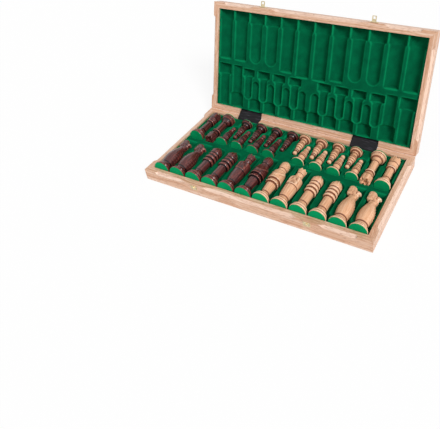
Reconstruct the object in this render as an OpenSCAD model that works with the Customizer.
// Folding chess box: two shallow wooden halves on strap hinges, lined with shaped wells that
// hold the thirty-two men. Opened out flat, the outer faces of the halves make the board.
// The origin is the middle of the lower half's underside, and +Y points to the hinges.
// The lid is drawn in the lower half's own frame and then turned about the hinge axis.

/* [Case] */
// Height of each half
half_h = 33.5; // [33:0.5:38]
// Thickness of the walls
wall_t = 16; // [14:0.5:16]
// Thickness of the board and of the border that the rails carry
board_t = 6; // [5:0.5:7]
// Bevel along the outer edge of the playing side
board_bevel = 2.5; // [1:0.5:4]
// Angle that the lid stands open at
open_angle = 108.4; // [96:0.2:124]
// Gap between the two rims when the box is closed
rim_gap = 0.3; // [0.2:0.1:0.6]

/* [Playing side] */
// Side of one square
square_s = 64; // [60:1:66]
// Thickness of the dark veneer
veneer_t = 0.6; // [0.4:0.1:1]
// Width of the dark line round the squares
line_w = 1.6; // [1:0.2:2.4]
// Joint left where the corners of two dark squares meet
square_joint = 0.1; // [0.1:0.1:0.4]

/* [Wavy edge] */
// Width of the cut on the rim, and its height on the face
wave_w = 6; // [4:0.5:7]
// Length of the full edge kept at each corner
foot_l = 32; // [24:1:40]
// Length of the run-out beside a corner
short_run = 8; // [6:1:12]
// Length of the full edge kept at each clasp
clasp_land_l = 44; // [36:2:56]
// Length of the run-out beside a clasp
long_run = 20; // [12:1:28]

/* [Strap hinges] */
// Distance of each strap from the middle of the box
strap_x = 168.5; // [140:0.5:200]
// Width of the strap
strap_w = 68; // [60:1:70]
// Thickness of the strap
strap_t = 1.6; // [1:0.1:2]
// Width of the notch in the back rail
notch_w = 72; // [71:1:80]
// Depth of the notch below the rim
notch_h = 16; // [12:0.5:18]

/* [Clasps] */
// Distance of each clasp from the middle of the box
clasp_x = 150; // [130:1:160]
// Width of the clasp plates
clasp_w = 18; // [16:0.5:22]
// Length of each clasp plate down the face
clasp_plate_l = 12; // [10:0.5:14]
// Thickness of the brass sheet
clasp_t = 0.8; // [0.6:0.1:1]
// Width of the tongue
tongue_w = 11; // [9:0.5:11]
// Length of the tongue from its pin
tongue_l = 15; // [14:0.5:17]
// Radius of the clasp's pin
clasp_pin_r = 0.7; // [0.6:0.05:0.8]
// Running clearance round the pin
pin_gap = 0.05; // [0.03:0.01:0.08]
// Radius of the catch's stud
stud_r = 2; // [1.6:0.1:2.2]
// Height of the catch's stud over its plate
stud_h = 2.8; // [2.2:0.1:3]
// Radius of the nails that hold the plates
nail_r = 0.7; // [0.5:0.1:0.8]
// Length of the nails in the wood
nail_l = 8; // [6:0.5:11]

/* [Lining] */
// Thickness of the formed sheet
sheet_t = 1.6; // [1.2:0.1:1.8]
// Depth of the lining's flat top below the rim
land_drop = 4.5; // [4:0.5:6]
// Gap between the lining and the walls
sheet_gap = 0.4; // [0.3:0.1:0.8]
// Room between a man's sides and its well
well_gap = 1; // [0.8:0.1:1.2]
// Gap under a man that lies in its well
rest_gap = 0.3; // [0.2:0.05:0.4]
// Depth of the great men's axis below the rim
axis_drop = 0.6; // [0.4:0.1:1.2]
// Land left between the back wall and the wells of the back row
back_land = 4; // [3:0.5:6]
// Land left between the wells of the kings and those of the rooks
row_gap = 3.8; // [3:0.2:8]
// Distance that the outward pawns' wells start behind those of the rooks
pawn_inset = 5; // [4:0.5:8]
// Spacing of the two rooks at each end
rook_pitch = 41.5; // [41:0.1:42]
// Distance of the first pawn from the middle of the box
first_pawn_x = 18.3; // [17:0.1:19]

/* [Men] */
// Diameter of the bases of kings, queens, bishops and knights
great_base_d = 42; // [38:0.5:43]
// Diameter of the rooks' bases
rook_base_d = 39; // [36:0.5:39]
// Diameter of the pawns' bases
pawn_base_d = 34; // [30:0.5:35]
// Length of the kings
king_l = 140; // [134:1:142]
// Length of the queens
queen_l = 133; // [126:1:138]
// Length of the bishops
bishop_l = 128; // [120:1:134]
// Length of the knights
knight_l = 125; // [118:1:132]
// Length of the rooks
rook_l = 104; // [96:1:106]
// Length of the pawns
pawn_l = 70; // [64:1:76]
// Thickness of the felt under each base
felt_t = 1.2; // [0.8:0.1:1.6]

/* [Hidden] */
$fn = 48;

// The men, by kind
KING = 0;
QUEEN = 1;
BISHOP = 2;
KNIGHT = 3;
ROOK = 4;
PAWN = 5;
great_r = great_base_d / 2;
man_l = [king_l, queen_l, bishop_l, knight_l, rook_l, pawn_l];
base_r = [great_r, great_r, great_r, great_r, rook_base_d / 2, pawn_base_d / 2];
body_r = [18, 17.5, 15.6, 18, 13.4, 9.4];
base_l = [26, 26, 26, 24, 24, 15];
seat_y = [1.2, 1.2, 1.2, 1.2, 2, 2];
spare_y = [4, 4, 4, 4, 9, 9];
round_well = [false, false, true, false, false, true];
function well_l(kind) = seat_y[kind] + man_l[kind] + spare_y[kind];
felt_margin = 0.6;
crown_r = 12;
crown_drop = 4;

// A half is as wide as two rows of wells, and the opened board is square
inner_w = well_l(KING) + row_gap + well_l(ROOK) + back_land;
half_w = inner_w + 2 * wall_t;
case_l = 2 * half_w;
border_w = (case_l - 8 * square_s) / 2 - line_w;
inner_l = case_l - 2 * wall_t;
front_y = -half_w / 2;
hinge_y = half_w / 2;
axis_y = hinge_y + rim_gap / 2;
axis_z = half_h + rim_gap / 2;
notch_floor_z = half_h - notch_h;
land_z = half_h - land_drop;

// The wavy cut is a 45 degree bevel whose depth swells and dies away along the edge
wave_c = wave_w / sqrt(2);
wave_start = 0.2;
wave_steps = 6;
side_foot_l = foot_l + 3;

// Clasp: the pin lies just off the face and below the rim, and the stud stands on the catch
knuckle_r = 1.5;
knuckle_gap = 0.3;
face_gap = 0.1;
pin_y = front_y - knuckle_r - face_gap;
pin_z = half_h - 1.9;
plate_top_z = half_h - 3.4;
middle_knuckle_l = tongue_w - 2.4;
tongue_t = 0.9;
tongue_neck_l = 3;
tongue_tip_l = 3;
tongue_shoulder_l = 2;
window_w = 2 * stud_r + 1.6;
stud_z = half_h - 8;
window_at = half_h + rim_gap + (half_h - pin_z) - stud_z;
nail_x = clasp_w / 2 - 1.7;
clasp_nail_z = plate_top_z - clasp_plate_l / 2 - 1.5;
nail_head_r = 1.3;
nail_head_h = 0.7;
nail_dome_r = 1.6;
nail_gap = 0.03;

// Where the men lie
well_floor_z = half_h - axis_drop - great_r - rest_gap;
function man_z(kind) = well_floor_z + rest_gap + base_r[kind];

// Each man is [name, kind, dark, x, start of its well, +1 with its head to the hinges or -1]
column_w = inner_l / 12;
back_end_y = hinge_y - wall_t - back_land;
rook_y = back_end_y - well_l(ROOK);
rook_x = inner_l / 2 - column_w / 2;
front_kinds = [KNIGHT, KNIGHT, BISHOP, BISHOP, QUEEN, KING];
front_names = ["knight_1", "knight_2", "bishop_1", "bishop_2", "queen", "king"];
function side_name(side) = side < 0 ? "dark_" : "light_";
FRONT_ROW = [
    for (side = [-1, 1]) for (k = [0:5])
        [str(side_name(side), front_names[k]), front_kinds[k], side < 0,
         side * (5.5 - k) * column_w, front_y + wall_t, 1]
];
ROOKS = [
    for (side = [-1, 1]) for (k = [0, 1])
        [str(side_name(side), "rook_", k + 1), ROOK, side < 0,
         side * (rook_x - k * rook_pitch), rook_y, 1 - 2 * k]
];
PAWNS = [
    for (side = [-1, 1]) for (k = [0:7])
        let (heading = k % 2 == 0 ? -1 : 1)
        [str(side_name(side), "pawn_", k + 1), PAWN, side < 0,
         side * (first_pawn_x + k * column_w / 2),
         heading < 0 ? back_end_y - well_l(PAWN) : rook_y + pawn_inset, heading]
];
MEN = concat(FRONT_ROW, ROOKS, PAWNS);

// Frames

// Puts a piece drawn in the lower half's frame where it lies in the opened lid
module in_lid() {
    translate([0, axis_y, axis_z])
        rotate([180 - open_angle, 0, 0])
            translate([0, axis_y, -axis_z])
                mirror([0, 1, 0])
                    children();
}

// Draws a profile of (inward, up) along the front edge
module along_x(length) {
    rotate([90, 0, 90])
        linear_extrude(length, center = true)
            children();
}

// Rails

// Section of a rail that carries the border of the board
module rail_section() {
    polygon([
        [board_bevel, 0], [border_w, 0], [border_w, board_t], [wall_t, board_t],
        [wall_t, half_h], [0, half_h], [0, board_bevel]
    ]);
}

function ease(t) = let (u = min(max(t, 0), 1)) u * u * (3 - 2 * u);
function wave_depth(share) = share * (wave_c + wave_start) - wave_start;
function run_in(a, b) = [
    for (k = [0:wave_steps]) let (u = k / wave_steps) [a + (b - a) * u, wave_depth(ease(u))]
];

// One recess of the wavy edge, from a to b, with its own run-out at each end
module wave_recess(a, b, run_a, run_b) {
    rim = concat(run_in(a, a + run_a), run_in(b, b - run_b));
    count = wave_steps + 1;
    points = concat(
        [for (k = [0:count - 1]) [rim[k][0], -rim[k][1]]],
        [for (k = [0:count - 1]) [rim[2 * count - 1 - k][0], -rim[2 * count - 1 - k][1]]],
        [[b, wave_w], [a, wave_w]]
    );
    translate([0, front_y, half_h])
        rotate([135, 0, 0])
            linear_extrude(3 * wave_w, center = true)
                polygon(points);
}

// The wavy edge of a front rail, with full edge left at the corners and clasps
module front_wave() {
    inner_b = clasp_x - clasp_land_l / 2;
    outer_a = clasp_x + clasp_land_l / 2;
    wave_recess(-inner_b, inner_b, long_run, long_run);
    for (flip = [0, 1])
        mirror([flip, 0, 0])
            wave_recess(outer_a, case_l / 2 - foot_l, long_run, short_run);
}

module nail_holes() {
    for (side = [-1, 1])
        for (x = [-nail_x, nail_x])
            translate([side * clasp_x + x, front_y + nail_l, clasp_nail_z])
                rotate([90, 0, 0])
                    cylinder(r = nail_r + nail_gap, h = nail_l + 1);
}
module front_rail() {
    cut = border_w + 1;
    difference() {
        intersection() {
            translate([0, front_y, 0])
                along_x(case_l)
                    rail_section();
            linear_extrude(half_h)
                polygon([
                    [-case_l / 2, front_y], [case_l / 2, front_y],
                    [case_l / 2 - cut, front_y + cut], [-case_l / 2 + cut, front_y + cut]
                ]);
        }
        front_wave();
        nail_holes();
    }
}

// Full outline of the back rail, without its notches
module back_rail_block() {
    translate([0, 0, board_t])
        linear_extrude(half_h - board_t)
            polygon([
                [-case_l / 2, hinge_y], [case_l / 2, hinge_y],
                [case_l / 2 - wall_t, hinge_y - wall_t], [-case_l / 2 + wall_t, hinge_y - wall_t]
            ]);
}

module back_rail() {
    difference() {
        back_rail_block();
        for (side = [-1, 1])
            translate([side * strap_x - notch_w / 2, hinge_y - wall_t - 1, notch_floor_z])
                cube([notch_w, wall_t + 2, notch_h + 1]);
    }
}

module left_rail() {
    cut = border_w + 1;
    difference() {
        intersection() {
            translate([-case_l / 2, 0, 0])
                rotate([90, 0, 0])
                    linear_extrude(half_w, center = true)
                        rail_section();
            linear_extrude(half_h)
                polygon([
                    [-case_l / 2, front_y], [-case_l / 2 + cut, front_y + cut],
                    [-case_l / 2 + cut, hinge_y], [-case_l / 2, hinge_y]
                ]);
        }
        back_rail_block();
        rotate([0, 0, -90])
            translate([0, half_w / 2 - case_l / 2, 0])
                wave_recess(-half_w / 2 + side_foot_l, half_w / 2 - side_foot_l, short_run, short_run);
    }
}

module right_rail() {
    mirror([1, 0, 0])
        left_rail();
}

// Board

field_l = 8 * square_s;
field_front_y = hinge_y - 4 * square_s;

// The dark veneers: every other square, and the line round the field
module veneers(parity) {
    for (i = [0:7])
        for (k = [0:3])
            if ((i + k) % 2 == parity)
                translate([-field_l / 2 + i * square_s, field_front_y + k * square_s, 0])
                    translate([square_joint / 2, square_joint / 2, 0])
                        cube([square_s - square_joint, square_s - square_joint, veneer_t]);
    difference() {
        translate([-field_l / 2 - line_w, field_front_y - line_w, 0])
            cube([field_l + 2 * line_w, 4 * square_s + line_w, veneer_t]);
        translate([-field_l / 2, field_front_y, -1])
            cube([field_l, 4 * square_s + 1, veneer_t + 2]);
    }
}

module board(parity) {
    difference() {
        translate([-field_l / 2 - line_w, field_front_y - line_w, 0])
            cube([field_l + 2 * line_w, 4 * square_s + line_w, board_t]);
        veneers(parity);
    }
}

// Lining

// Half-round trough along Y with upright sides above its axis
module trough(x, from, length, r, z) {
    translate([x, from, z])
        rotate([-90, 0, 0])
            cylinder(r = r, h = length);
    translate([x - r, from, z])
        cube([2 * r, length, half_h]);
}

// The well of one man, or its outside when grown by the sheet
module well(m, grow) {
    kind = m[1];
    start = m[4];
    length = well_l(kind);
    heading = m[5];
    wide_l = base_l[kind] + seat_y[kind] + (heading < 0 ? spare_y[kind] : 0);
    wide_start = heading > 0 ? start : start + length - wide_l;
    wide_r = base_r[kind] + well_gap;
    slim_r = body_r[kind] + well_gap + grow;
    round_l = round_well[kind] ? slim_r : 0;
    // A front well runs out through the lining's edge
    open_end = kind < ROOK && grow == 0 ? 1 : 0;
    trough(m[3], wide_start - grow - open_end, wide_l + 2 * grow + open_end,
           wide_r + grow, well_floor_z + wide_r);
    trough(m[3], start - grow + (heading < 0 ? round_l : 0), length + 2 * grow - round_l,
           slim_r, man_z(kind));
    if (round_well[kind])
        translate([m[3], heading > 0 ? start + length + grow - slim_r : start - grow + slim_r,
                   man_z(kind)]) {
            sphere(r = slim_r);
            cylinder(r = slim_r, h = half_h);
        }
}

// Block that the lining fills, drawn in by an inset all round and at the top
module lining_block(inset) {
    x = inner_l / 2 - sheet_gap - inset;
    y = inner_w / 2 - sheet_gap - inset;
    below = inset > 0 ? 1 : 0;
    translate([-x, -y, board_t - below])
        cube([2 * x, 2 * y, land_z - inset - board_t + below]);
}

// Formed sheet with a skirt that stands on the board and a well for every man
module lining() {
    difference() {
        union() {
            difference() {
                lining_block(0);
                lining_block(sheet_t);
            }
            intersection() {
                lining_block(0);
                for (m = MEN)
                    well(m, sheet_t);
            }
        }
        for (m = MEN)
            well(m, 0);
    }
}

// Strap hinges

// One half of a strap: glued to the notch floor, then up behind the rail to the hinge axis
module strap_leaf(side) {
    back = wall_t - rim_gap;
    top = notch_h - rim_gap;
    fillet_r = 3;
    corner = back - strap_t;
    translate([side * strap_x, hinge_y - wall_t, notch_floor_z])
        along_x(strap_w)
            union() {
                square([back, strap_t]);
                translate([corner, 0])
                    square([strap_t, top]);
                difference() {
                    translate([corner - fillet_r, strap_t])
                        square(fillet_r);
                    translate([corner - fillet_r, strap_t + fillet_r])
                        circle(r = fillet_r);
                }
            }
}

// Clasps

module plate_with_holes(z, length) {
    difference() {
        translate([-clasp_w / 2, front_y - clasp_t, z - length])
            cube([clasp_w, clasp_t, length]);
        for (x = [-nail_x, nail_x])
            translate([x, front_y + 1, clasp_nail_z])
                rotate([90, 0, 0])
                    cylinder(r = nail_r + nail_gap, h = clasp_t + 2);
    }
}

// Plate on the lid, with the two outer knuckles of the clasp's hinge rolled from it
module hasp(side) {
    knuckle_l = (clasp_w - middle_knuckle_l) / 2 - knuckle_gap;
    translate([side * clasp_x, 0, 0]) {
        plate_with_holes(plate_top_z, clasp_plate_l);
        for (flip = [0, 1])
            mirror([flip, 0, 0])
                translate([clasp_w / 2 - knuckle_l / 2, 0, 0])
                    along_x(knuckle_l)
                        difference() {
                            union() {
                                translate([front_y - clasp_t, plate_top_z])
                                    square([clasp_t, pin_z - plate_top_z]);
                                translate([pin_y, pin_z])
                                    circle(r = knuckle_r);
                            }
                            translate([pin_y, pin_z])
                                circle(r = clasp_pin_r + pin_gap);
                        }
    }
}

// Tongue as it stands square to the face: a knuckle, a leaf and the window for the stud
module tongue(side) {
    translate([side * clasp_x, 0, 0])
        difference() {
            union() {
                along_x(middle_knuckle_l)
                    translate([pin_y, pin_z])
                        circle(r = knuckle_r - face_gap);
                translate([-middle_knuckle_l / 2, pin_y - tongue_neck_l, pin_z - tongue_t / 2])
                    cube([middle_knuckle_l, tongue_neck_l, tongue_t]);
                translate([-tongue_w / 2, pin_y - tongue_l + tongue_tip_l, pin_z - tongue_t / 2])
                    cube([tongue_w, tongue_l - tongue_tip_l - tongue_shoulder_l, tongue_t]);
                translate([0, pin_y - tongue_l + tongue_tip_l, pin_z - tongue_t / 2])
                    linear_extrude(tongue_t)
                        intersection() {
                            circle(r = tongue_w / 2);
                            translate([-tongue_w / 2, -tongue_tip_l])
                                square([tongue_w, tongue_tip_l]);
                        }
            }
            along_x(clasp_w)
                translate([pin_y, pin_z])
                    circle(r = clasp_pin_r + pin_gap);
            translate([-window_w / 2, pin_y - window_at - window_w / 2, pin_z - 2])
                cube([window_w, window_w, 4]);
        }
}

// Plate on the lower half, with the stud that the tongue's window drops over
module catch(side) {
    cap_r = stud_r / 2;
    translate([side * clasp_x, 0, 0]) {
        plate_with_holes(plate_top_z + 1, clasp_plate_l + 1);
        translate([0, front_y - clasp_t, stud_z])
            rotate([90, 0, 0])
                rotate_extrude()
                    union() {
                        square([stud_r, stud_h - cap_r]);
                        square([stud_r - cap_r, stud_h]);
                        translate([stud_r - cap_r, stud_h - cap_r])
                            circle(r = cap_r);
                    }
    }
}

module nails() {
    shank_l = nail_l - 1;
    for (side = [-1, 1])
        for (x = [-nail_x, nail_x])
            translate([side * clasp_x + x, front_y, clasp_nail_z])
                rotate([90, 0, 0]) {
                    translate([0, 0, -shank_l])
                        cylinder(r = nail_r, h = shank_l + clasp_t);
                    translate([0, 0, clasp_t])
                        intersection() {
                            cylinder(r = nail_head_r, h = nail_head_h);
                            translate([0, 0, nail_head_h - nail_dome_r])
                                sphere(r = nail_dome_r);
                        }
                }
}

module pins() {
    for (side = [-1, 1])
        translate([side * clasp_x, pin_y, pin_z])
            rotate([0, 90, 0])
                cylinder(r = clasp_pin_r, h = clasp_w, center = true);
}

// Men, as turned profiles of (radius, height) over the felt

// Rounded ring
module bead(y, r, h) {
    translate([0, y])
        square([r - h / 2, h]);
    translate([r - h / 2, y + h / 2])
        circle(d = h, $fn = 24);
}

module taper(y0, r0, y1, r1) {
    polygon([[0, y0], [r0, y0], [r1, y1], [0, y1]]);
}

// Hollow sweep from a wide foot up to a narrow neck
module cove(y0, r0, y1, r1) {
    steps = 5;
    polygon(concat(
        [[0, y0]],
        [for (k = [0:steps]) let (a = 90 * k / steps)
            [r0 - (r0 - r1) * sin(a), y0 + (y1 - y0) * (1 - cos(a))]],
        [[0, y1]]
    ));
}

// Full sweep that bulges past the straight line between its ends
module swell(y0, r0, y1, r1, bulge) {
    steps = 10;
    polygon(concat(
        [[0, y0]],
        [for (k = [0:steps]) let (u = k / steps)
            [r0 + (r1 - r0) * u + bulge * sin(180 * u), y0 + (y1 - y0) * u]],
        [[0, y1]]
    ));
}

// Stepped foot of rings that sweeps up into the stem
module foot(r, height, neck) {
    bead(0, r, height * 0.22);
    bead(height * 0.22, r - 1.5, height * 0.1);
    bead(height * 0.32, r - 2.4, height * 0.15);
    bead(height * 0.47, r - 4.4, height * 0.1);
    cove(height * 0.57, r - 5.2, height, neck);
}

// Ball that tops a turned man
module ball(top, r) {
    intersection() {
        translate([0, top - r])
            circle(r = r);
        translate([0, top - 2 * r])
            square([r, 2 * r]);
    }
}

module king_profile(top) {
    hem = 55;
    jacket = 67;
    shoulder = 93;
    chin = top - 36;
    brim = top - 28;
    foot(base_r[KING], 24, 10);
    taper(24, 10, hem + 1, 12.4);
    bead(hem, 17, 4);
    swell(hem + 3, 16, jacket + 1, 13.6, -0.8);
    bead(jacket, body_r[KING], 4);
    swell(jacket + 3, 17.6, shoulder, 16, 0.4);
    swell(shoulder, 16, chin, 9.6, 2);
    swell(chin, 9.6, brim, 10.4, 0.6);
    swell(brim, 11, top - 11, 12, 0.6);
    ball(top, 12);
}

module queen_profile(top) {
    waist = 66;
    shoulder = top - 42;
    chin = top - 32;
    brow = top - 20;
    foot(base_r[QUEEN], 25, 12);
    swell(25, 12, waist, 15, 0.8);
    bead(waist - 2, 16, 3.6);
    swell(waist, 16, shoulder, 16.6, 0.6);
    swell(shoulder, 16.6, chin, 7, 1);
    swell(chin, 6.6, brow, 8.6, 1.6);
    taper(brow, 9, top - crown_drop, crown_r);
}

module bishop_profile(top) {
    collar = 62;
    dome = collar + 34;
    foot(base_r[BISHOP], 27, 12.4);
    taper(25, 12.4, collar + 24, 11.6);
    bead(collar, 15, 4.4);
    bead(collar + 5, 13.4, 2);
    bead(collar + 7.6, 15.2, 5);
    bead(collar + 15, 13.6, 3.6);
    bead(collar + 20.6, 13, 3.2);
    swell(collar + 24, 11.6, dome, 14.6, 0.6);
    swell(dome, 14.6, top - 3, 2.6, 5);
    ball(top, 3);
}

module knight_profile() {
    neck = 82;
    foot(base_r[KNIGHT], 19, 14);
    swell(19, 14.4, neck, 9.6, 5.6);
    taper(neck, 9.6, neck + 10, 9);
}

module rook_profile(top) {
    collar = 64;
    turret = 74;
    foot(base_r[ROOK], 28, 9.6);
    taper(28, 9.6, collar + 1, 8.8);
    bead(collar, 12, 4);
    taper(collar + 3, 9.4, turret - 2, 9.4);
    swell(turret - 3, 9.4, turret + 8, 13.2, 0.6);
    taper(turret + 8, 13.2, top, 13.2);
}

module pawn_profile(top) {
    foot(base_r[PAWN], 14, 7);
    swell(14, 7, top - 20, 5, 3.2);
    bead(22, 9.2, 2.4);
    bead(27, 9.4, 2.4);
    taper(top - 20, 5, top - 8, 3.2);
    bead(top - 20, 6.8, 2.6);
    bead(top - 15, 5.8, 2);
    ball(top, 5.6);
}

module king() {
    rotate_extrude()
        king_profile(king_l - felt_t);
}

// The shoulders and arms are flat at the front and back, and the crown is hollow with eight points
module queen() {
    top = queen_l - felt_t;
    waist = 67;
    chin = top - 32;
    rim = top - crown_drop;
    depth = 25;
    crown_wall = 1.2;
    point_h = 8;
    point_w = 7.2;
    cap_r = 6;
    difference() {
        rotate_extrude()
            queen_profile(top);
        for (flip = [0, 180])
            rotate([0, 0, flip])
                translate([-great_r, depth / 2, waist])
                    cube([great_base_d, great_r, chin - waist]);
        translate([0, 0, rim - point_h])
            cylinder(r1 = cap_r + 0.6, r2 = crown_r - crown_wall, h = point_h);
        for (k = [0:3])
            rotate([90, 0, 45 * k])
                linear_extrude(3 * crown_r, center = true)
                    polygon([[point_w / 2, rim + 1], [-point_w / 2, rim + 1], [0, rim - point_h + 1]]);
    }
    translate([0, 0, rim - point_h - 1])
        cylinder(r1 = cap_r, r2 = 1.4, h = top - rim + point_h + 1);
}

module bishop() {
    rotate_extrude()
        bishop_profile(bishop_l - felt_t);
}

// The head is cut from a flat blank in profile and rounded at its edges
module knight() {
    top = knight_l - felt_t;
    head_t = 15;
    head_r = 17.2;
    jaw_z = 92;
    eye_r = 1.2;
    rotate_extrude()
        knight_profile();
    intersection() {
        rotate([90, 0, 0])
            linear_extrude(head_t, center = true)
                difference() {
                    polygon([
                        [-8.8, jaw_z - 8], [-9, jaw_z - 1], [-15, jaw_z + 1], [-17, jaw_z + 4],
                        [-17, top - 6], [-14, top - 1.5], [-9, top], [-3, top - 3],
                        [14, jaw_z + 14], [15.5, jaw_z + 12.5], [10.6, jaw_z + 8.5],
                        [12.6, jaw_z + 5], [11.4, jaw_z - 3], [9.4, jaw_z - 8]
                    ]);
                    translate([-15.6, jaw_z + 3])
                        circle(r = eye_r, $fn = 16);
                }
        rotate_extrude()
            union() {
                translate([0, jaw_z - 12])
                    square([head_r, 28]);
                swell(jaw_z + 16, head_r, top, 12, 2);
            }
    }
}

// Six battlements stand round a hollow top
module rook() {
    top = rook_l - felt_t;
    gap_w = 4.4;
    gap_h = 7;
    bowl_r = 8.6;
    bowl_h = 9;
    difference() {
        rotate_extrude()
            rook_profile(top);
        translate([0, 0, top - bowl_h])
            cylinder(r = bowl_r, h = bowl_h + 1);
        for (k = [0:2])
            rotate([0, 0, 60 * k])
                translate([-great_r, -gap_w / 2, top - gap_h])
                    cube([great_base_d, gap_w, gap_h + 2]);
    }
}

module pawn() {
    rotate_extrude()
        pawn_profile(pawn_l - felt_t);
}

// Lays a man, drawn standing on its base, in its well
module in_well(m) {
    kind = m[1];
    felt_y = m[4] + seat_y[kind] + (m[5] > 0 ? 0 : man_l[kind]);
    translate([m[3], felt_y, man_z(kind)])
        rotate([-90 * m[5], 0, 0])
            children();
}

module man(m) {
    color(m[2] ? [0.37, 0.18, 0.12] : [0.84, 0.66, 0.44])
        in_well(m)
            translate([0, 0, felt_t]) {
                if (m[1] == KING) king();
                if (m[1] == QUEEN) queen();
                if (m[1] == BISHOP) bishop();
                if (m[1] == KNIGHT) knight();
                if (m[1] == ROOK) rook();
                if (m[1] == PAWN) pawn();
            }
}

module felts() {
    for (m = MEN)
        in_well(m)
            cylinder(r = base_r[m[1]] - felt_margin, h = felt_t);
}

// Colours and nodes

oak = [0.89, 0.73, 0.59];
light_veneer = [0.86, 0.67, 0.43];
dark_veneer = [0.24, 0.16, 0.18];
lining_green = [0, 0.36, 0.22];
felt_green = [0, 0.6, 0.35];
strap_black = [0.13, 0.12, 0.15];
brass = [0.8, 0.68, 0.4];

module tray_front_rail() { color(oak) front_rail(); }
module tray_back_rail() { color(oak) back_rail(); }
module tray_left_rail() { color(oak) left_rail(); }
module tray_right_rail() { color(oak) right_rail(); }
module tray_board() { color(light_veneer) board(1); }
module tray_inlay() { color(dark_veneer) veneers(1); }
module tray_lining() { color(lining_green) lining(); }
module tray_strap(side) { color(strap_black) strap_leaf(side); }
module tray_catch(side) { color(brass) catch(side); }
module catch_nails() { color(brass) nails(); }
module lid_front_rail() { color(oak) in_lid() front_rail(); }
module lid_back_rail() { color(oak) in_lid() back_rail(); }
module lid_left_rail() { color(oak) in_lid() left_rail(); }
module lid_right_rail() { color(oak) in_lid() right_rail(); }
module lid_board() { color(light_veneer) in_lid() board(0); }
module lid_inlay() { color(dark_veneer) in_lid() veneers(0); }
module lid_lining() { color(lining_green) in_lid() lining(); }
module lid_strap(side) { color(strap_black) in_lid() strap_leaf(side); }
module lid_hasp(side) { color(brass) in_lid() hasp(side); }
module hasp_nails() { color(brass) in_lid() nails(); }
module hasp_pins() { color(brass) in_lid() pins(); }
module lid_tongue(side) { color(brass) in_lid() tongue(side); }
module men_felts() { color(felt_green) felts(); }

tray_front_rail();
tray_back_rail();
tray_left_rail();
tray_right_rail();
tray_board();
tray_inlay();
tray_lining();
tray_strap(-1);  // tray_strap_left
tray_strap(1);  // tray_strap_right
tray_catch(-1);  // catch_left
tray_catch(1);  // catch_right
catch_nails();
lid_front_rail();
lid_back_rail();
lid_left_rail();
lid_right_rail();
lid_board();
lid_inlay();
lid_lining();
lid_strap(-1);  // lid_strap_left
lid_strap(1);  // lid_strap_right
lid_hasp(-1);  // hasp_left
lid_hasp(1);  // hasp_right
hasp_nails();
hasp_pins();
lid_tongue(-1);  // tongue_left
lid_tongue(1);  // tongue_right
men_felts();
for (m = MEN)
    man(m);
